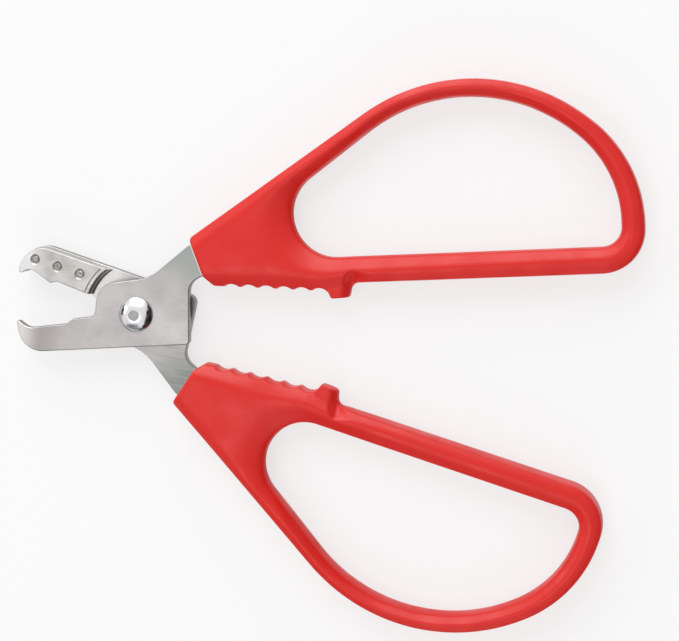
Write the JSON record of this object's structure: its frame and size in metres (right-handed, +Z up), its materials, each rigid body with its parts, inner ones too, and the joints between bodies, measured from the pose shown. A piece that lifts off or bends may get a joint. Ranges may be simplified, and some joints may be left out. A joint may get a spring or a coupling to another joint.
{
  "type": "seed sheller pliers",
  "caption": "Pliers that crack hard shells: crossed flat steel levers with hooked jaws, one of them plated, and ribbed plastic grip loops.",
  "frame": {"origin": "below the middle of the whole tool, on the surface that it lies on", "axes": "+X from the jaws to the far ends of the grip loops, +Y from the lower handle to the upper one, +Z up along the pivot, towards the side with the domed washer"},
  "size_m": [0.1636, 0.1444, 0.0093],
  "materials": {
    "lever_steel": "satin stamped stainless steel",
    "plate_steel": "satin stamped stainless steel with bevelled edges",
    "rivet_steel": "ground flush",
    "pin_steel": "matt peened end",
    "dome_chrome": "bright plated dome",
    "handle_plastic": "satin injection-moulded red plastic"
  },
  "bodies": {
    "front_lever": {"front_blade": "lever_steel", "upper_handle": "handle_plastic", "pivot_pin": "pin_steel", "dome_washer": "dome_chrome"},
    "rear_lever": {"rear_blade": "lever_steel", "jaw_plate": "plate_steel", "jaw_plate_rivets": "rivet_steel", "lower_handle": "handle_plastic"}
  },
  "joints": [
    {"name": "pivot", "type": "hinge", "parent": "front_lever", "child": "rear_lever", "pos_m": [-0.0475, 0, 0.0045], "axis": [0, 0, 1], "range_deg": [-60, 22.6]}
  ]
}
